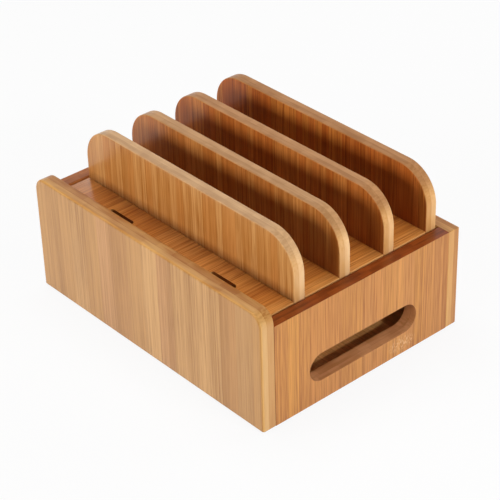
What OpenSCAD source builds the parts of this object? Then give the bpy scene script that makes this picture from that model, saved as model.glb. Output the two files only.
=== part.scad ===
// Charging station organizer: a bamboo box that hides a charger under a lift-off deck.
// Phones and tablets stand between the deck's four upright dividers, and their cables drop
// through the slots in the deck. A mains lead leaves through the long opening in an end panel.
// Millimetres. X runs along the dividers, -Y is the front with the tall panel, and +Z is up.
// The origin is on the table, under the middle of the box.

/* [Box] */
// Outside length of the box, along the dividers
box_length = 250; // [220:1:320]
// Height of the back and end panels, from their lower edges
box_height = 82.2; // [78:0.2:120]
// Height of the tall front panel
front_height = 94.6; // [86:0.2:132]
// Radius of the front panel's two upper corners
front_corner_r = 11; // [4:0.5:20]
// Thickness of the front, back and end panels
panel_t = 11.5; // [10:0.5:14]
// Thickness of the bottom board
bottom_t = 6; // [4:0.5:8]
// Underside of the bottom board above the panels' lower edges
bottom_rise = 5; // [3:0.5:8]
// Depth of the grooves that hold the bottom board
groove_depth = 4; // [2:0.5:6]

/* [Deck and dividers] */
// Thickness of the lift-off deck
deck_t = 10; // [9:0.5:14]
// Gap around the deck, so that it lifts out freely
deck_clearance = 0.5; // [0.3:0.1:1.5]
// Thickness of each divider
divider_t = 10; // [8:0.5:12]
// Height of the dividers above the deck
divider_rise = 45.4; // [36:0.2:90]
// Radius of the dividers' upper corners
divider_corner_r = 27; // [10:1:34]
// Depth of the grooves that hold the dividers
divider_seat = 3; // [2:0.5:4]
// Free width between the front panel and the first divider
front_bay = 28.8; // [26:0.2:50]
// Free width between two dividers
bay = 32; // [28:0.5:50]
// Gap between the last divider and the back panel
back_gap = 1.2; // [1:0.1:10]

/* [Openings] */
// Length of the cable slots in the deck
slot_length = 26; // [16:1:40]
// Width of the cable slots
slot_width = 5; // [4.5:0.1:6]
// Distance between the two slots of a bay
slot_pitch = 112; // [80:1:130]
// How far each pair of slots lies right of the middle
slot_shift = 4; // [0:1:8]
// Middle of a slot in front of the divider behind it
slot_setback = 17.2; // [14:0.2:20]
// Length of the lead opening in each end panel
lead_length = 103; // [70:1:110]
// Height of the lead opening
lead_height = 23; // [16:1:30]
// Middle of the lead opening above the panel's lower edge
lead_middle = 28.4; // [27:0.2:34]

/* [Joinery] */
// Width of the ledger strips that the deck rests on
ledger_w = 10; // [9:1:12]
// Height of the ledger strips
ledger_h = 12; // [10:1:15]
// Gap drawn between the ledgers and the deck that rests on them
seat_gap = 0.3; // [0.2:0.1:0.5]
// Diameter of the corner dowels
dowel_d = 6; // [5:0.5:7]
// Length of the corner dowels
dowel_length = 28; // [20:1:32]
// Depth of the dowels in the front and back panels
dowel_bite = 7.5; // [5:0.5:8.5]
// Dowels in each corner
dowels_per_corner = 3; // [2:1:4]
// Shank diameter of the divider screws
divider_screw_d = 3.5; // [3:0.5:4]
// Length of the divider screws
divider_screw_length = 25; // [20:1:35]
// Distance between the screws of a divider, and between the screws of a long ledger
screw_pitch = 80; // [60:1:90]
// Shank diameter of the ledger screws
ledger_screw_d = 3; // [2.5:0.5:3]
// Length of the ledger screws
ledger_screw_length = 16; // [14:1:17]
// Diameter of the foot pads
pad_d = 9; // [7:0.5:10]
// Thickness of the foot pads
pad_t = 1.2; // [0.8:0.1:3]
// Middle of each foot pad in from the ends of the box
pad_inset = 14; // [8:1:40]

/* [Hidden] */
$fn = 96;
PANEL = [0.82, 0.62, 0.42];
END_PANEL = [0.80, 0.56, 0.36];
DECK = [0.65, 0.40, 0.20];
DIVIDER = [0.78, 0.54, 0.30];
INNER = [0.72, 0.54, 0.36];
DOWEL = [0.78, 0.66, 0.48];
STEEL = [0.62, 0.63, 0.65];
RUBBER = [0.16, 0.16, 0.17];

divider_count = 4;
divider_pitch = bay + divider_t;
box_width = 2*panel_t + front_bay + divider_t + (divider_count - 1)*divider_pitch + back_gap;
half_l = box_length/2;
half_w = box_width/2;
inner_half_l = half_l - panel_t;
inner_half_w = half_w - panel_t;

foot_z = pad_t;
box_top = foot_z + box_height;
deck_z = box_top - deck_t;
ledger_z = deck_z - seat_gap - ledger_h;
bottom_z = foot_z + bottom_rise;
lead_z = foot_z + lead_middle;

deck_half_l = inner_half_l - deck_clearance;
deck_half_w = inner_half_w - deck_clearance;
divider_z = box_top - divider_seat;
divider_h = divider_seat + divider_rise;
first_divider_y = -inner_half_w + front_bay;

fit_gap = 0.05;
long_screw_xs = [-screw_pitch, 0, screw_pitch];
end_screw_ys = [-screw_pitch/2, screw_pitch/2];
ledger_mid_z = ledger_z + ledger_h/2;

// Front face of a divider, counted from 0 at the front
function divider_y(i) = first_divider_y + i*divider_pitch;

// Middle of a cable slot: bay i lies in front of divider i, and side is -1 or 1
function slot_x(side) = slot_shift + side*slot_pitch/2;
function slot_y(i) = divider_y(i) - slot_setback;

// Height of dowel k: a corner's dowels are spread evenly above the bottom board
bottom_top = bottom_z + bottom_t;
function dowel_z(k) = bottom_top + (box_top - bottom_top)*(k + 0.5)/dowels_per_corner;

// A block given by its lowest and highest corners
module span_box(low, high) {
    translate(low) cube(high - low);
}

// Upright board with two round upper corners, its lower left front corner at the origin
module arched_board(length, height, thickness, r) {
    translate([0, thickness, 0]) rotate([90, 0, 0]) linear_extrude(thickness) intersection() {
        square([length, height]);
        union() {
            square([length, height - r]);
            translate([r, 0]) square([length - 2*r, height]);
            for (x = [r, length - r]) translate([x, height - r]) circle(r);
        }
    }
}

// Round-ended slot through Z, centred on the origin, its length along X
module slot(length, width, depth) {
    linear_extrude(depth, center = true) union() {
        square([length - width, width], center = true);
        for (side = [-1, 1]) translate([side*(length - width)/2, 0]) circle(width/2);
    }
}

// Countersunk screw, its head at the origin and its point towards +Z
module screw(d, length) {
    head_r = d;
    head_h = head_r - d/2;
    point_h = d;
    difference() {
        rotate_extrude() polygon([
            [0, 0], [head_r, 0], [d/2, head_h], [d/2, length - point_h], [0, length]
        ]);
        for (a = [0, 90]) rotate([0, 0, a])
            span_box([-d*0.55, -d*0.11, -1], [d*0.55, d*0.11, d*0.35]);
    }
}

// Hole for a screw, larger than it by the fit gap all round
module screw_hole(d, length) {
    head_r = d + fit_gap;
    shank_r = d/2 + fit_gap;
    rotate_extrude() polygon([
        [0, -1], [head_r, -1], [head_r, 0], [shank_r, head_r - shank_r],
        [shank_r, length - d + fit_gap], [0, length + 2*fit_gap]
    ]);
}

// Puts a screw or its hole at each place under the deck, pointing up into divider i
module at_divider_screws(i) {
    for (x = long_screw_xs) translate([x, divider_y(i) + divider_t/2, deck_z]) children();
}

// Puts a screw or its hole at each place on a long ledger: side is -1 for front, 1 for back
module at_long_ledger_screws(side) {
    for (x = long_screw_xs)
        translate([x, side*(inner_half_w - ledger_w), ledger_mid_z]) rotate([-side*90, 0, 0]) children();
}

// Puts a screw or its hole at each place on an end ledger: side is -1 for left, 1 for right
module at_end_ledger_screws(side) {
    for (y = end_screw_ys)
        translate([side*(inner_half_l - ledger_w), y, ledger_mid_z]) rotate([0, side*90, 0]) children();
}

// Puts a dowel or its hole in both corners at one side: side is -1 for front, 1 for back
module at_dowels(side) {
    for (end = [-1, 1], k = [0 : dowels_per_corner - 1])
        translate([end*(half_l - panel_t/2), side*(inner_half_w + dowel_bite), dowel_z(k)])
            rotate([side*90, 0, 0]) children();
}

module dowel_hole() {
    translate([0, 0, -0.5]) cylinder(d = dowel_d + 2*fit_gap, h = dowel_length + 1);
}

// Room for the bottom board's edges in the four panels
module bottom_groove() {
    reach = groove_depth + fit_gap;
    span_box(
        [-inner_half_l - reach, -inner_half_w - reach, bottom_z - fit_gap],
        [inner_half_l + reach, inner_half_w + reach, bottom_z + bottom_t + fit_gap]
    );
}

module front_panel() {
    color(PANEL) difference() {
        translate([-half_l, -half_w, foot_z])
            arched_board(box_length, front_height, panel_t, front_corner_r);
        bottom_groove();
        at_dowels(-1) dowel_hole();
        at_long_ledger_screws(-1) screw_hole(ledger_screw_d, ledger_screw_length);
    }
}

module back_panel() {
    color(PANEL) difference() {
        span_box([-half_l, inner_half_w, foot_z], [half_l, half_w, box_top]);
        bottom_groove();
        at_dowels(1) dowel_hole();
        at_long_ledger_screws(1) screw_hole(ledger_screw_d, ledger_screw_length);
    }
}

// End panel between the front and back panels, with the opening for the mains lead
module end_panel(side) {
    middle_x = side*(half_l - panel_t/2);
    color(END_PANEL) difference() {
        span_box(
            [middle_x - panel_t/2, -inner_half_w, foot_z],
            [middle_x + panel_t/2, inner_half_w, box_top]
        );
        translate([middle_x, 0, lead_z]) rotate([90, 0, 90])
            slot(lead_length, lead_height, 2*panel_t);
        bottom_groove();
        for (face = [-1, 1]) at_dowels(face) dowel_hole();
        at_end_ledger_screws(side) screw_hole(ledger_screw_d, ledger_screw_length);
    }
}

module bottom_board() {
    color(INNER) span_box(
        [-inner_half_l - groove_depth, -inner_half_w - groove_depth, bottom_z],
        [inner_half_l + groove_depth, inner_half_w + groove_depth, bottom_z + bottom_t]
    );
}

// Ledger on the front or back panel, over the whole inside length
module long_ledger(side) {
    middle_y = side*(inner_half_w - ledger_w/2);
    color(INNER) difference() {
        span_box(
            [-inner_half_l, middle_y - ledger_w/2, ledger_z],
            [inner_half_l, middle_y + ledger_w/2, ledger_z + ledger_h]
        );
        at_long_ledger_screws(side) screw_hole(ledger_screw_d, ledger_screw_length);
    }
}

// Ledger on an end panel, between the two long ones
module end_ledger(side) {
    middle_x = side*(inner_half_l - ledger_w/2);
    color(INNER) difference() {
        span_box(
            [middle_x - ledger_w/2, -inner_half_w + ledger_w, ledger_z],
            [middle_x + ledger_w/2, inner_half_w - ledger_w, ledger_z + ledger_h]
        );
        at_end_ledger_screws(side) screw_hole(ledger_screw_d, ledger_screw_length);
    }
}

module corner_dowels() {
    color(DOWEL) for (side = [-1, 1]) at_dowels(side) cylinder(d = dowel_d, h = dowel_length);
}

module ledger_screws() {
    color(STEEL) for (side = [-1, 1]) {
        at_long_ledger_screws(side) screw(ledger_screw_d, ledger_screw_length);
        at_end_ledger_screws(side) screw(ledger_screw_d, ledger_screw_length);
    }
}

// Thin stick-on pad under a corner of the box
module foot_pad(end, side) {
    color(RUBBER) translate([end*(half_l - pad_inset), side*(half_w - panel_t/2), 0])
        cylinder(d = pad_d, h = pad_t);
}

// The deck, with its cable slots, and grooves and screw holes for the dividers
module deck_board() {
    color(DECK) difference() {
        span_box([-deck_half_l, -deck_half_w, deck_z], [deck_half_l, deck_half_w, box_top]);
        for (i = [0 : divider_count - 1]) {
            span_box(
                [-half_l, divider_y(i) - fit_gap, divider_z],
                [half_l, divider_y(i) + divider_t + fit_gap, box_top + 1]
            );
            for (side = [-1, 1]) translate([slot_x(side), slot_y(i), box_top - deck_t/2])
                slot(slot_length, slot_width, 2*deck_t);
            at_divider_screws(i) screw_hole(divider_screw_d, divider_screw_length);
        }
    }
}

// Upright divider i, counted from 0 at the front
module divider(i) {
    color(DIVIDER) difference() {
        translate([-deck_half_l, divider_y(i), divider_z])
            arched_board(2*deck_half_l, divider_h, divider_t, divider_corner_r);
        at_divider_screws(i) screw_hole(divider_screw_d, divider_screw_length);
    }
}

module divider_screws() {
    color(STEEL) for (i = [0 : divider_count - 1])
        at_divider_screws(i) screw(divider_screw_d, divider_screw_length);
}

front_panel();
back_panel();
end_panel(1);  // right_end_panel
end_panel(-1);  // left_end_panel
bottom_board();
long_ledger(-1);  // front_ledger
long_ledger(1);  // back_ledger
end_ledger(1);  // right_ledger
end_ledger(-1);  // left_ledger
corner_dowels();
ledger_screws();
foot_pad(1, -1);  // front_right_foot_pad
foot_pad(-1, -1);  // front_left_foot_pad
foot_pad(1, 1);  // back_right_foot_pad
foot_pad(-1, 1);  // back_left_foot_pad
deck_board();
divider(0);  // front_divider
divider(1);  // second_divider
divider(2);  // third_divider
divider(3);  // rear_divider
divider_screws();
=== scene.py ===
from math import cos, pi, radians, sin

import bmesh
import bpy
from mathutils import Matrix, Vector


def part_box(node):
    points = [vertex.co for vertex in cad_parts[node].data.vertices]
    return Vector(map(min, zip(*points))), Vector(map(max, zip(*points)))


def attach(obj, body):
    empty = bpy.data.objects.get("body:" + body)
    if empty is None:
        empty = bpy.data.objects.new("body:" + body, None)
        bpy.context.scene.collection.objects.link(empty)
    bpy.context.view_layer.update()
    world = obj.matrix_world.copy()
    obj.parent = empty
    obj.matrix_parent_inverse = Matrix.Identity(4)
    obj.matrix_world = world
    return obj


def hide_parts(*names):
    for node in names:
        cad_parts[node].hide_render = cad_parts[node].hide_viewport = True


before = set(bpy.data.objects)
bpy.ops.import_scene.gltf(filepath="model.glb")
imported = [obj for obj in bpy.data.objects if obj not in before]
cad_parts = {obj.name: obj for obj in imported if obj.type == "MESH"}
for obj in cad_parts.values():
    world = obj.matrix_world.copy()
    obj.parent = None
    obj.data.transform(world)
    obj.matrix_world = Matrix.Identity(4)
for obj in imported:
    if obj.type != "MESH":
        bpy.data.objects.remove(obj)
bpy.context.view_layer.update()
bpy.context.scene.view_settings.view_transform = "Standard"
MM = 0.001


# Bottom board of the box.
# A thin panel of flat-pressed bamboo, slid into grooves in the four panels before the box is
# glued up. Its face is seen through the lead openings, and its underside from below.
def linear(hex_colour):
    """An sRGB hex colour as linear red, green, blue and alpha."""
    channels = [int(hex_colour[i : i + 2], 16) / 255 for i in (1, 3, 5)]
    return [c / 12.92 if c <= 0.04045 else ((c + 0.055) / 1.055) ** 2.4 for c in channels] + [1.0]


def node(tree, kind, inputs=None, **settings):
    """Adds a node with its settings, and its inputs as values or as other nodes' outputs."""
    made = tree.nodes.new(kind)
    for key, value in settings.items():
        setattr(made, key, value)
    for key, value in (inputs or {}).items():
        if isinstance(value, bpy.types.NodeSocket):
            tree.links.new(value, made.inputs[key])
        else:
            made.inputs[key].default_value = value
    return made


def surface(name):
    """A new material's tree and its shader."""
    material = bpy.data.materials.new(name)
    material.use_nodes = True
    return material, material.node_tree, material.node_tree.nodes["Principled BSDF"]


def bamboo(name, across, along, strip, ply, ply_from, tints, deep, end_grain, side_grain, seed,
           lines=0.4, veins=0.15, drift=0.2, dark_ply=-1, knuckle=None, coat=0.9):
    """Bamboo strips glued edge to edge into plies, planed, sanded and lacquered.

    across and along are the axes 0, 1 or 2 over the strips and down the grain. strip and ply
    are the width of a strip and the thickness of a ply, and ply_from is where the plies start,
    all in mm. The eye gets strips of slightly different tan, each with long straight fibres,
    short dark veins and one edge deeper than the other, under a smooth clear coat. Cut ends
    show sanding lines, and the edges along the grain show their plies, of which dark_ply is the
    deeper one. knuckle is the place across and along of a flecked patch where the culm was
    jointed, and coat is how much lacquer there is.
    """
    through = 3 - across - along
    material, tree, shader = surface(name)

    def maths(operation, *values, clamp=False):
        inputs = dict(enumerate(values))
        return node(tree, "ShaderNodeMath", inputs, operation=operation, use_clamp=clamp).outputs[0]

    def ramp(value, low, high, out_low=0.0, out_high=1.0):
        inputs = {"Value": value, "From Min": low, "From Max": high, "To Min": out_low, "To Max": out_high}
        return node(tree, "ShaderNodeMapRange", inputs, interpolation_type="SMOOTHSTEP").outputs[0]

    def grain(a, width, g, length, draw, detail=1.0, low=0.34, high=0.66):
        """Noise drawn out along the grain, stretched to run from 0 to 1. Sizes are in mm."""
        at = {0: maths("DIVIDE", a, width), 2: maths("DIVIDE", p, 4.0 * width),
              1: maths("ADD", maths("DIVIDE", g, length), draw)}
        vector = node(tree, "ShaderNodeCombineXYZ", at).outputs[0]
        settings = {"Vector": vector, "Scale": 1.0, "Detail": detail, "Roughness": 0.6}
        return ramp(node(tree, "ShaderNodeTexNoise", settings).outputs["Fac"], low, high)

    def mix(share, under, over):
        inputs = {"Factor": share, "A": under, "B": over}
        return node(tree, "ShaderNodeMix", inputs, data_type="RGBA").outputs["Result"]

    coordinates = node(tree, "ShaderNodeTexCoord").outputs
    in_mm = node(tree, "ShaderNodeVectorMath", {0: coordinates["Object"], "Scale": 1000.0},
                 operation="SCALE").outputs[0]
    axes = node(tree, "ShaderNodeSeparateXYZ", {0: in_mm}).outputs
    g, p = axes[along], axes[through]
    facing = node(tree, "ShaderNodeSeparateXYZ", {0: coordinates["Normal"]}).outputs
    cut_end = ramp(maths("ABSOLUTE", facing[along]), 0.3, 0.8)
    side = ramp(maths("ABSOLUTE", facing[across]), 0.5, 0.9)

    plies = maths("DIVIDE", maths("SUBTRACT", p, ply_from - 0.1), ply)
    layer = maths("FLOOR", plies)
    deeper_ply = maths("COMPARE", layer, float(dark_ply), 0.1)
    wander = grain(axes[across], 45.0, g, 260.0, seed, 0.0)
    a = maths("MULTIPLY_ADD", wander, 0.8, axes[across])

    strips = maths("MULTIPLY_ADD", layer, 0.37, maths("DIVIDE", a, strip))
    cell = maths("MULTIPLY_ADD", layer, 57.0, maths("ADD", maths("FLOOR", strips), seed))
    draw = node(tree, "ShaderNodeSeparateColor", {
        0: node(tree, "ShaderNodeTexWhiteNoise", {"W": cell}, noise_dimensions="1D").outputs["Color"]}).outputs
    within = maths("FRACT", strips)
    from_edge = maths("SUBTRACT", 0.5, maths("ABSOLUTE", maths("SUBTRACT", within, 0.5)))
    glue = ramp(from_edge, 0.0, 0.5 / strip, 1.0, 0.0)
    deep_edge = maths("MULTIPLY", maths("POWER", maths("SUBTRACT", 1.0, within), 5.0), draw[2])
    ply_edge = maths("ABSOLUTE", maths("SUBTRACT", maths("FRACT", plies), 0.5))
    ply_line = ramp(ply_edge, 0.5 - 0.45 / ply, 0.5)

    shift = maths("MULTIPLY", draw[1], 40.0)
    fibre = grain(a, 0.7, g, 50.0, shift, 2.0, 0.4, 0.62)
    streak = grain(a, 2.6, g, 260.0, shift)
    broad = grain(a, 24.0, g, 300.0, seed, 0.0)
    vein = grain(a, 0.7, g, 20.0, shift, 0.0, 0.5, 0.75)
    sanding = grain(g, 0.9, a, 30.0, seed)

    mean_shade = 0.33
    shade = maths("MULTIPLY_ADD", fibre, 0.55 * lines, mean_shade - (lines + drift) / 2)
    shade = maths("MULTIPLY_ADD", streak, 0.45 * lines, shade)
    shade = maths("MULTIPLY_ADD", broad, drift, shade)
    shade = maths("MULTIPLY_ADD", deep_edge, 0.3, shade)
    shade = maths("MULTIPLY_ADD", vein, veins, shade)
    shade = maths("MULTIPLY_ADD", glue, 0.1, shade)
    shade = maths("MAXIMUM", shade, 0.0, clamp=True)

    tint = node(tree, "ShaderNodeValToRGB", {0: draw[0]})
    stops = tint.color_ramp.elements
    while len(stops) < len(tints):
        stops.new(0.5)
    tint.color_ramp.interpolation = "CONSTANT"
    for i, colour in enumerate(tints):
        stops[i].position = i / len(tints)
        stops[i].color = linear(colour)
    face = mix(shade, tint.outputs[0], linear(deep))
    if knuckle:
        off_a = maths("DIVIDE", maths("SUBTRACT", a, knuckle[0]), 13.0)
        off_g = maths("DIVIDE", maths("SUBTRACT", g, knuckle[1]), 6.0)
        off = maths("ADD", maths("MULTIPLY", off_a, off_a), maths("MULTIPLY", off_g, off_g))
        flecks = grain(a, 0.8, g, 2.6, seed, 0.0, 0.5, 0.62)
        flecks = maths("MULTIPLY", ramp(off, 0.3, 1.3, 0.6, 0.0), flecks)
        face = mix(flecks, face, linear("#ecbe84"))

    along_edge = maths("MULTIPLY_ADD", deeper_ply, 0.6, maths("MULTIPLY", shade, 0.5))
    along_edge = maths("MULTIPLY_ADD", ply_line, 0.3, along_edge, clamp=True)
    face = mix(side, face, mix(along_edge, linear(side_grain[0]), linear(side_grain[1])))
    over_end = maths("MULTIPLY_ADD", deeper_ply, 0.4, maths("MULTIPLY", sanding, 0.4))
    over_end = maths("MULTIPLY_ADD", ply_line, 0.25, maths("MULTIPLY_ADD", draw[1], 0.3, over_end))
    over_end = maths("MULTIPLY_ADD", broad, 0.2, maths("SUBTRACT", over_end, 0.1), clamp=True)
    colour = mix(cut_end, face, mix(over_end, linear(end_grain[0]), linear(end_grain[1])))
    tree.links.new(colour, shader.inputs["Base Color"])

    tree.links.new(ramp(fibre, 0.0, 1.0, 0.5, 0.4), shader.inputs["Roughness"])
    height = maths("SUBTRACT", fibre, vein)
    bump = node(tree, "ShaderNodeBump", {"Strength": 0.2, "Distance": 0.02 * MM, "Height": height})
    tree.links.new(bump.outputs[0], shader.inputs["Normal"])
    shader.inputs["IOR"].default_value = 1.5
    shader.inputs["Specular IOR Level"].default_value = 0.1
    flat = maths("ABSOLUTE", facing[through])
    sanded = maths("MULTIPLY", ramp(flat, 0.1, 0.35), ramp(flat, 0.8, 0.98, 1.0, 0.0))
    bare = maths("MAXIMUM", maths("MULTIPLY", cut_end, 0.45), maths("MULTIPLY", sanded, 0.8))
    tree.links.new(ramp(bare, 0.0, 1.0, coat, 0.0), shader.inputs["Coat Weight"])
    shader.inputs["Coat Roughness"].default_value = 0.2
    shader.inputs["Coat IOR"].default_value = 1.5
    return material


def start_board(name, low, high):
    """A sawn board between two corners, its object at the origin and its place in its mesh."""
    if bpy.context.object and bpy.context.object.mode != "OBJECT":
        bpy.ops.object.mode_set(mode="OBJECT")
    bpy.ops.object.select_all(action="DESELECT")
    low, high = Vector(low), Vector(high)
    bpy.ops.mesh.primitive_cube_add(size=1, location=(low + high) / 2, scale=high - low)
    board = bpy.context.object
    board.name = name
    board.data.name = name
    bpy.ops.object.transform_apply(location=True, rotation=True, scale=True)
    return board


def apply_modifier(piece, kind, **settings):
    """Adds a modifier with its settings to a piece and applies it."""
    bpy.ops.object.select_all(action="DESELECT")
    bpy.context.view_layer.objects.active = piece
    piece.select_set(True)
    modifier = piece.modifiers.new(kind.lower(), kind)
    for key, value in settings.items():
        setattr(modifier, key, value)
    bpy.ops.object.modifier_apply(modifier=modifier.name)


def ease_arrises(piece, radius, segments=3):
    """Rounds the sharp edges as sanding does, and keeps the faces flat to the eye."""
    apply_modifier(piece, "BEVEL", width=radius, segments=segments, limit_method="ANGLE",
                   angle_limit=radians(40), miter_outer="MITER_ARC")
    bpy.ops.object.shade_smooth_by_angle(angle=radians(50))
    apply_modifier(piece, "WEIGHTED_NORMAL", keep_sharp=True, weight=80)


def finish_piece(piece, material, body, slot, *nodes):
    """Gives a piece its material and its body, and hides the CAD nodes that it stands for. Its slot is not used."""
    piece.data.materials.clear()
    piece.data.materials.append(material)
    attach(piece, body)
    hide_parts(*nodes)


low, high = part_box("bottom_board")
bottom = start_board("bottom_board_panel", low, high)
ease_arrises(bottom, 0.6 * MM)
inner_tints = ["#f0aa66", "#f4b06c", "#e09654", "#f8b872"]
inner_end = ["#a87444", "#8a5a30"]
inner_side = ["#d4a060", "#a87038"]
bottom_bamboo = bamboo("bamboo_flat_pressed_thin_sealed", 1, 0, 20.0, 3.0, low[2] * 1000,
                       inner_tints, "#96602c", inner_end, inner_side, 11.0)
finish_piece(bottom, bottom_bamboo, "box", "inner_bamboo", "bottom_board")


# End panels.
# Side-pressed bamboo with upright grain, glued and dowelled between the front and back panels.
# A long round-ended opening is routed through each, for the charger's mains lead.
def cut(piece, cutter):
    """Cuts a tool's shape out of a piece and removes the tool."""
    apply_modifier(piece, "BOOLEAN", object=cutter, operation="DIFFERENCE", solver="EXACT")
    bpy.data.objects.remove(cutter, do_unlink=True)


def round_edges(piece, along, keep, radius, segments):
    """Rounds the edges that run along an axis and whose middle passes the test."""
    bpy.ops.object.select_all(action="DESELECT")
    bpy.context.view_layer.objects.active = piece
    piece.select_set(True)
    bpy.ops.object.mode_set(mode="EDIT")
    bpy.ops.mesh.select_mode(type="EDGE")
    bpy.ops.mesh.select_all(action="DESELECT")
    mesh = bmesh.from_edit_mesh(piece.data)
    for edge in mesh.edges:
        run = edge.verts[1].co - edge.verts[0].co
        middle = (edge.verts[0].co + edge.verts[1].co) / 2
        edge.select = abs(run[along]) > 0.99 * run.length and keep(middle)
    mesh.select_flush_mode()
    bmesh.update_edit_mesh(piece.data)
    bpy.ops.mesh.bevel(offset=radius, segments=segments, affect="EDGES", clamp_overlap=False)
    bpy.ops.mesh.select_all(action="SELECT")
    bpy.ops.mesh.remove_doubles(threshold=0.0001 * MM)
    bpy.ops.mesh.normals_make_consistent(inside=False)
    bpy.ops.object.mode_set(mode="OBJECT")


def ease_outer_face(piece, axis, face_at, radius):
    """Rounds the edges round the one face that lies at a place on an axis, but not its foot."""
    bpy.ops.object.select_all(action="DESELECT")
    bpy.context.view_layer.objects.active = piece
    piece.select_set(True)
    bpy.ops.object.mode_set(mode="EDIT")
    bpy.ops.mesh.select_mode(type="EDGE")
    bpy.ops.mesh.select_all(action="DESELECT")
    mesh = bmesh.from_edit_mesh(piece.data)
    foot = min(vert.co[2] for vert in mesh.verts)
    for edge in mesh.edges:
        on_face = all(abs(vert.co[axis] - face_at) < 0.01 * MM for vert in edge.verts)
        at_foot = all(vert.co[2] < foot + 0.01 * MM for vert in edge.verts)
        edge.select = on_face and not at_foot and edge.calc_face_angle() > radians(40)
    mesh.select_flush_mode()
    bmesh.update_edit_mesh(piece.data)
    bpy.ops.mesh.bevel(offset=radius, segments=5, affect="EDGES", clamp_overlap=False)
    bpy.ops.object.mode_set(mode="OBJECT")


def slot_cutter(middle, size, along):
    """A round-ended tool for a slot that is driven along an axis. Its short side is its width."""
    size, middle = Vector(size), Vector(middle)
    cutter = start_board("cutter", middle - size / 2, middle + size / 2)
    width = min(size[axis] for axis in range(3) if axis != along)
    round_edges(cutter, along, lambda at: True, width / 2 * 0.9999, 16)
    return cutter


lead_length = 103 * MM
lead_height = 23 * MM
lead_z = 29.6 * MM
end_tints = ["#d49246", "#d8954a", "#d08e48", "#da9846", "#d49048"]
# The faces inside the openings carry painted light: their grain is much paler than the same grain on the panel's top,
# so that the lip shows as lit.
opening_bamboo_lightened = bamboo("bamboo_side_pressed_routed_painted_light", 1, 2, 10.0, 40.0, 0.0,
                       end_tints, "#a05a1c", ["#e4a470", "#bc7844"], ["#dc9a64", "#b47040"], 23.0)
for side, seed, knuckle, top_grain in (("right", 23.0, (38, 10), ["#984a1c", "#5c280c"]),
                                       ("left", 37.0, None, ["#b66e38", "#82441c"])):
    end_bamboo = bamboo("bamboo_side_pressed_lacquered_" + side, 1, 2, 10.0, 40.0, 0.0,
                        end_tints, "#a8662a", top_grain, top_grain, seed,
                        lines=0.7, veins=0.3, knuckle=knuckle, coat=0.65)
    cad = side + "_end_panel"
    low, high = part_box(cad)
    panel = start_board(cad + "_board", low, high)
    middle = (low[0] + high[0]) / 2
    round_edges(panel, 1, lambda at: at[2] > high[2] - 1 * MM and abs(at[0]) < abs(middle), 2.5 * MM, 5)
    cut(panel, slot_cutter((middle, 0, lead_z), (30 * MM, lead_length, lead_height), 0))
    ease_arrises(panel, 0.5 * MM)
    finish_piece(panel, end_bamboo, "box", "panel_bamboo", cad)
    # Painted light: the opening's faces take the paler copy of the grain.
    panel.data.materials.append(opening_bamboo_lightened)
    for face in panel.data.polygons:
        in_opening = (abs(face.center[1]) < lead_length / 2 + 0.1 * MM
                      and abs(face.center[2] - lead_z) < lead_height / 2 + 0.1 * MM)
        face.material_index = int(in_opening and abs(face.normal[0]) < 0.5)


# Front panel.
# Two plies of wide flat-pressed strips with upright grain. It stands taller than the box, its
# two upper corners are rounded, and its edges are sanded soft.
corner_r = 11 * MM
low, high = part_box("front_panel")
front = start_board("front_panel_board", low, high)
round_edges(front, 1, lambda at: at[2] > high[2] - 1 * MM, corner_r, 16)
ease_outer_face(front, 1, low[1], 1.8 * MM)
ease_arrises(front, 0.5 * MM, 2)
panel_tints = ["#b68446", "#bc8a4e", "#b28248", "#c29256", "#b27e42", "#bc8852"]
panel_end = ["#ca9858", "#9c6028"]
front_bamboo = bamboo("bamboo_flat_pressed_lacquered_front", 0, 2, 16.7, 5.75, low[1] * 1000,
                      panel_tints, "#946222", panel_end, ["#dcac6c", "#c08440"], 5.0, lines=0.75, drift=0.42,
                      dark_ply=1)
finish_piece(front, front_bamboo, "box", "panel_bamboo", "front_panel")


# Back panel.
# The same two-ply board as the front, but level with the end panels, its corners left square.
low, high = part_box("back_panel")
back = start_board("back_panel_board", low, high)
ease_outer_face(back, 1, high[1], 2.4 * MM)
ease_arrises(back, 0.5 * MM, 2)
back_bamboo = bamboo("bamboo_flat_pressed_lacquered_back", 0, 2, 16.7, 5.75, low[1] * 1000,
                     panel_tints, "#9c6428", panel_end, ["#dca45a", "#b4702a"], 31.0, lines=0.75, drift=0.42,
                     dark_ply=1)
finish_piece(back, back_bamboo, "box", "panel_bamboo", "back_panel")


# Corner dowels.
# Turned hardwood pins, glued into the corner joints and hidden inside the boards.
dowel, tree, shader = surface("beech_turned_raw")
place = node(tree, "ShaderNodeTexCoord").outputs["Object"]
stretched = node(tree, "ShaderNodeMapping", {"Vector": place, "Scale": (1800, 90, 1800)}).outputs[0]
grain = node(tree, "ShaderNodeTexNoise", {"Vector": stretched, "Scale": 1.0, "Detail": 2.0}).outputs["Fac"]
wood = node(tree, "ShaderNodeMix", {"Factor": grain, "A": linear("#d9b98c"), "B": linear("#b98f5c")},
            data_type="RGBA").outputs["Result"]
tree.links.new(wood, shader.inputs["Base Color"])
shader.inputs["Roughness"].default_value = 0.7
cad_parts["corner_dowels"].data.materials.clear()
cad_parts["corner_dowels"].data.materials.append(dowel)


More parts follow.
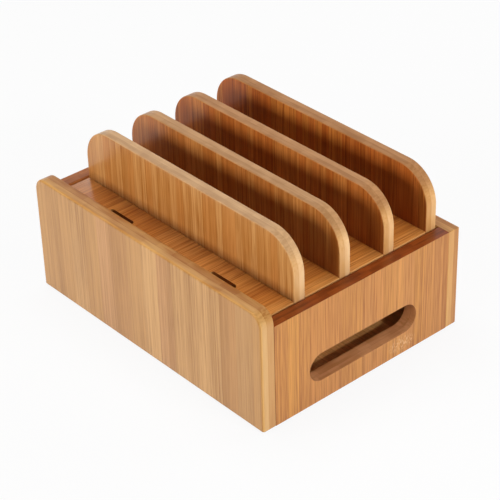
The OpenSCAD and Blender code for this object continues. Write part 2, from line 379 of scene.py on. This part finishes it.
# Ledger strips.
# Planed bamboo strips, glued and screwed around the inside of the box. The deck rests on them.
def screw_sink(at, axis, direction, head_r, shank_r, depth):
    """A tool for a countersunk hole whose mouth is at a point and which is driven along an axis."""
    bpy.ops.object.select_all(action="DESELECT")
    sink = head_r - shank_r
    bpy.ops.mesh.primitive_cone_add(vertices=32, radius1=head_r, radius2=shank_r, depth=sink,
                                    location=(0, 0, sink / 2))
    tool = bpy.context.object
    bpy.ops.object.mode_set(mode="EDIT")
    bpy.ops.mesh.select_mode(type="FACE")
    for low_end in (False, True):
        bpy.ops.mesh.select_all(action="DESELECT")
        mesh = bmesh.from_edit_mesh(tool.data)
        for face in mesh.faces:
            face.select = len(face.verts) == 32 and (face.normal[2] < 0) == low_end
        bmesh.update_edit_mesh(tool.data)
        reach = -1 * MM if low_end else depth - sink
        bpy.ops.mesh.extrude_region_move(TRANSFORM_OT_translate={"value": (0, 0, reach)})
    bpy.ops.object.mode_set(mode="OBJECT")
    turn = Vector((0, 0, 1)).rotation_difference(Vector([direction * (i == axis) for i in range(3)]))
    tool.data.transform(Matrix.Translation(at) @ turn.to_matrix().to_4x4() @ Matrix.Translation(tool.location))
    tool.location = (0, 0, 0)
    return tool


ledger_bamboo = {}
ledger_bamboo[0] = bamboo("bamboo_strip_sealed_long", 2, 0, 12.0, 12.0, 0.0, inner_tints, "#96602c",
                          inner_end, inner_side, 41.0)
ledger_bamboo[1] = bamboo("bamboo_strip_sealed_end", 2, 1, 12.0, 12.0, 0.0, inner_tints, "#96602c",
                          inner_end, inner_side, 43.0)
ledger_screw_r = 1.5 * MM
for cad, run, side in (("front_ledger", 0, -1), ("back_ledger", 0, 1), ("right_ledger", 1, 1), ("left_ledger", 1, -1)):
    low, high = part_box(cad)
    strip = start_board(cad + "_strip", low, high)
    ease_arrises(strip, 0.6 * MM, 2)
    drive = 1 - run
    mouth = low[drive] if side > 0 else high[drive]
    for step in ((-80, 0, 80) if run == 0 else (-40, 40)):
        at = Vector((step * MM, mouth, 0)) if run == 0 else Vector((mouth, step * MM, 0))
        at[2] = (low[2] + high[2]) / 2
        cut(strip, screw_sink(at, drive, side, 2 * ledger_screw_r + 0.05 * MM, ledger_screw_r + 0.05 * MM, 14 * MM))
    finish_piece(strip, ledger_bamboo[run], "box", "inner_bamboo", cad)


# Foot pads.
# Thin discs of soft rubber with a sticky back, pressed on under the corners of the box.
rubber, tree, shader = surface("rubber_moulded_matt")
place = node(tree, "ShaderNodeTexCoord").outputs["Object"]
grit = node(tree, "ShaderNodeTexNoise", {"Vector": place, "Scale": 2500.0, "Detail": 2.0}).outputs["Fac"]
dark = node(tree, "ShaderNodeMix", {"Factor": grit, "A": linear("#26262a"), "B": linear("#3a3a3e")},
            data_type="RGBA").outputs["Result"]
tree.links.new(dark, shader.inputs["Base Color"])
shader.inputs["Roughness"].default_value = 0.8
bump = node(tree, "ShaderNodeBump", {"Strength": 0.3, "Distance": 0.05 * MM, "Height": grit})
tree.links.new(bump.outputs[0], shader.inputs["Normal"])
for corner in ("front_right", "front_left", "back_right", "back_left"):
    cad = corner + "_foot_pad"
    low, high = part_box(cad)
    bpy.ops.object.select_all(action="DESELECT")
    bpy.ops.mesh.primitive_cylinder_add(vertices=48, radius=(high[0] - low[0]) / 2, depth=high[2] - low[2],
                                        location=[(low[i] + high[i]) / 2 for i in range(3)])
    pad = bpy.context.object
    pad.name = cad + "_disc"
    pad.data.name = pad.name
    bpy.ops.object.transform_apply(location=True, rotation=True, scale=True)
    ease_arrises(pad, 0.35 * MM)
    finish_piece(pad, rubber, "box", "rubber_pad", cad)


# Deck board.
# Flat-pressed bamboo with its grain from front to back. Cable slots are routed through it, the
# dividers stand in shallow grooves, and its edges are rounded so that it drops in easily.
slot_size = Vector((26 * MM, 5 * MM, 30 * MM))
slot_xs = (-52 * MM, 60 * MM)
slot_setback = 17.2 * MM
dividers = ("front_divider", "second_divider", "third_divider", "rear_divider")
low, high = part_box("deck_board")
deck = start_board("deck_board_panel", low + Vector((0.8 * MM, 0, 0)), high)
deck_top = high[2]
divider_screw_r = 1.75 * MM
for cad in dividers:
    foot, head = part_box(cad)
    groove = start_board("groove", (low[0] - 5 * MM, foot[1] - 0.05 * MM, foot[2]),
                         (high[0] + 5 * MM, head[1] + 0.05 * MM, head[2]))
    cut(deck, groove)
ease_arrises(deck, 0.9 * MM, 4)
for cad in dividers:
    foot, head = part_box(cad)
    for x in slot_xs:
        cut(deck, slot_cutter((x, foot[1] - slot_setback, deck_top), slot_size, 2))
    for x in (-80 * MM, 0, 80 * MM):
        at = Vector((x, (foot[1] + head[1]) / 2, low[2]))
        cut(deck, screw_sink(at, 2, 1, 2 * divider_screw_r + 0.05 * MM, divider_screw_r + 0.05 * MM, 9 * MM))
deck_tints = ["#de964c", "#d88e42", "#e09a50", "#d4883e", "#da9246"]
deck_bamboo = bamboo("bamboo_flat_pressed_lacquered_deck", 0, 1, 20.0, 40.0, 0.0,
                     deck_tints, "#9a501c", ["#b47a44", "#8a5428"], ["#dca868", "#b87c40"], 61.0,
                     lines=0.75, veins=0.25)
finish_piece(deck, deck_bamboo, "deck", "deck_bamboo", "deck_board")


# Dividers.
# Four boards of one size with upright grain and wide round upper corners, their edges sanded round.
# Each stands in its groove in the deck and is glued and screwed from below. The boards carry
# painted shade: the further back a board stands, the deeper and redder its front and top, and
# slightly its ends. This is partly a warmer batch, and mostly the shade and reddish bounce light
# between the close boards. Their backs keep the first board's pale colour.
divider_r = 27 * MM
pale_tints = ["#c28c50", "#bc8448", "#c69256", "#ba7e42"]
# Tints for the rear boards' fronts: a warmer batch colour with painted shade, deeper and redder like the shade between
# close boards.
shaded_batch_tints = ["#b05a20", "#a8521a", "#b46424", "#a04c16"]
batch_and_shade_share = (0.0, 0.38, 0.62, 0.75)


def between(first, second, share):
    """A colour part of the way from one hex colour to another."""
    channels = [(int(first[i : i + 2], 16), int(second[i : i + 2], 16)) for i in (1, 3, 5)]
    return "#" + "".join("%02x" % round(a + (b - a) * share) for a, b in channels)


first_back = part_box(dividers[0])[1][1]
back_ply = bamboo("bamboo_side_pressed_lacquered_divider_backs", 0, 2, 7.0, 5.0, first_back * 1000 - 2.5,
                  pale_tints, "#94581e", ["#d4aa7c", "#b48a60"], ["#eec490", "#d8a060"], 101.0,
                  lines=0.65, veins=0.25, coat=0.6)
for index, cad in enumerate(dividers):
    low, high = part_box(cad)
    board = start_board(cad + "_board", low, high)
    round_edges(board, 1, lambda at: at[2] > high[2] - 1 * MM, divider_r, 24)
    ease_outer_face(board, 1, low[1], 1.1 * MM)
    ease_arrises(board, 0.6 * MM)
    # The share of painted shade and warmer batch colour grows towards the rear board. It also strengthens the streaks
    # and thins the lacquer.
    batch_and_shade = batch_and_shade_share[index]
    board_tints = [between(pale, deeper, batch_and_shade) for pale, deeper in zip(pale_tints, shaded_batch_tints)]
    board_bamboo = bamboo("bamboo_side_pressed_lacquered_" + cad, 0, 2, 7.0, 5.0, low[1] * 1000,
                          board_tints, between("#94581e", "#702e08", batch_and_shade),
                          [between("#d4aa7c", "#b07a4c", batch_and_shade), between("#b48a60", "#905c30", batch_and_shade)],
                          [between("#eec490", "#d89c58", batch_and_shade ** 3), between("#d8a060", "#bc7c3c", batch_and_shade ** 3)],
                          71.0 + 7 * index, lines=0.65 + 0.4 * batch_and_shade, veins=0.25, dark_ply=0,
                          coat=0.6 - 0.4 * batch_and_shade)
    finish_piece(board, board_bamboo, "deck", "divider_bamboo", cad)
    board.data.materials.append(back_ply)
    for face in board.data.polygons:
        face.material_index = int(face.normal[1] > 0.5)


# Screws.
# Countersunk steel wood screws with a cross recess, zinc plated to a bright satin grey.
zinc, tree, shader = surface("steel_zinc_plated")
place = node(tree, "ShaderNodeTexCoord").outputs["Object"]
patches = node(tree, "ShaderNodeTexNoise", {"Vector": place, "Scale": 900.0, "Detail": 2.0}).outputs["Fac"]
plating = node(tree, "ShaderNodeMix", {"Factor": patches, "A": linear("#b9bcc2"), "B": linear("#9da1a8")},
               data_type="RGBA").outputs["Result"]
tree.links.new(plating, shader.inputs["Base Color"])
shader.inputs["Metallic"].default_value = 1.0
shader.inputs["Roughness"].default_value = 0.32
for cad in ("ledger_screws", "divider_screws"):
    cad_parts[cad].data.materials.clear()
    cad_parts[cad].data.materials.append(zinc)


# Floor.
# A wide sheet of matt white card. To the camera it is nearly white, and it keeps a soft shadow.
card, tree, shader = surface("card_matt_white")
shader.inputs["Base Color"].default_value = linear("#e6e6e6")
shader.inputs["Roughness"].default_value = 0.9
rays = node(tree, "ShaderNodeLightPath").outputs
seen = node(tree, "ShaderNodeMath", {0: rays["Is Camera Ray"], 1: rays["Is Glossy Ray"]}, operation="ADD").outputs[0]
seen = node(tree, "ShaderNodeMath", {0: seen, 1: rays["Is Transmission Ray"]}, operation="ADD", use_clamp=True).outputs[0]
share = node(tree, "ShaderNodeMath", {0: seen, 1: 0.9}, operation="MULTIPLY").outputs[0]
glow = node(tree, "ShaderNodeEmission", {"Color": (1, 1, 1, 1), "Strength": 1.0}).outputs[0]
blend = node(tree, "ShaderNodeMixShader", {0: share, 1: shader.outputs[0], 2: glow}).outputs[0]
tree.links.new(blend, tree.nodes["Material Output"].inputs["Surface"])
bpy.ops.object.select_all(action="DESELECT")
bpy.ops.mesh.primitive_plane_add(size=12, location=(0, 0, 0))
floor = bpy.context.object
floor.name = "floor"
floor.data.materials.append(card)


# Lights.
# A broad soft box beside the camera, another opposite it that lights the boards' top edges, and
# a white room around them.
world = bpy.data.worlds.new("white_room")
bpy.context.scene.world = world
world.use_nodes = True
tree = world.node_tree
rays = node(tree, "ShaderNodeLightPath").outputs
seen = node(tree, "ShaderNodeMath", {0: rays["Is Camera Ray"], 1: rays["Is Glossy Ray"]}, operation="ADD").outputs[0]
seen = node(tree, "ShaderNodeMath", {0: seen, 1: rays["Is Transmission Ray"]}, operation="ADD", use_clamp=True).outputs[0]
room_light = 0.1
dim_side = 0.25
strength = node(tree, "ShaderNodeMapRange", {"Value": seen, "To Min": room_light, "To Max": 1.0}).outputs[0]
towards = node(tree, "ShaderNodeTexCoord").outputs["Generated"]
backdrop = node(tree, "ShaderNodeVectorMath", {0: towards, 1: (-0.76, 0.65, 0.0)}, operation="DOT_PRODUCT").outputs["Value"]
dimmed = node(tree, "ShaderNodeMapRange", {"Value": backdrop, "From Min": 0.1, "From Max": 0.7, "To Min": dim_side, "To Max": 1.0},
              interpolation_type="SMOOTHSTEP").outputs[0]
reflected = node(tree, "ShaderNodeMath", {0: rays["Is Glossy Ray"], 1: dimmed}, operation="MULTIPLY").outputs[0]
strength = node(tree, "ShaderNodeMapRange", {"Value": rays["Is Glossy Ray"], "To Min": strength, "To Max": reflected}).outputs[0]
tree.links.new(strength, tree.nodes["Background"].inputs["Strength"])
tree.nodes["Background"].inputs["Color"].default_value = (1, 1, 1, 1)


def soft_box(name, azimuth, elevation, distance, width, height, power):
    """A rectangular lamp aimed at the object. Azimuth 0 stands in front of the tall panel."""
    lamp = bpy.data.lights.new(name, "AREA")
    lamp.shape = "RECTANGLE"
    lamp.size = width
    lamp.size_y = height
    lamp.energy = power
    holder = bpy.data.objects.new(name, lamp)
    holder.visible_glossy = False
    bpy.context.scene.collection.objects.link(holder)
    back = Vector((sin(azimuth) * cos(elevation), -cos(azimuth) * cos(elevation), sin(elevation)))
    holder.location = back * distance + Vector((0, 0, 0.06))
    holder.rotation_euler = back.to_track_quat("Z", "Y").to_euler()


soft_box("front_box", radians(-12), radians(17), 1.6, 2.0, 0.5, 26)
soft_box("side_box", radians(95), radians(22), 1.6, 0.6, 0.1, 12.9)
soft_box("top_box", radians(-100), radians(72), 1.6, 0.9, 0.9, 11)
soft_box("back_box", radians(170), radians(18), 1.6, 1.6, 0.4, 12)


# Camera.
# At the photograph's viewing angle, with the lens that its perspective asks for.
azimuth, elevation, roll = radians(49.526), radians(33.06), radians(-1.779)
distance = 1297.9 * MM
pan_right = 3.93 * MM
pan_up = -11.88 * MM
aim = Vector((0, 0, 61.2 * MM))
back = Vector((sin(azimuth) * cos(elevation), -cos(azimuth) * cos(elevation), sin(elevation)))
right = Vector((cos(azimuth), sin(azimuth), 0))
up = back.cross(right)
turned_right = right * cos(roll) + up * sin(roll)
turned_up = up * cos(roll) - right * sin(roll)
camera = bpy.data.cameras.new("camera")
camera.sensor_width = 36
camera.lens = 128.17
holder = bpy.data.objects.new("camera", camera)
bpy.context.scene.collection.objects.link(holder)
holder.matrix_world = Matrix.Translation(aim + back * distance + right * pan_right + up * pan_up) @ Matrix(
    (turned_right, turned_up, back)).transposed().to_4x4()
bpy.context.scene.camera = holder

bpy.context.view_layer.update()
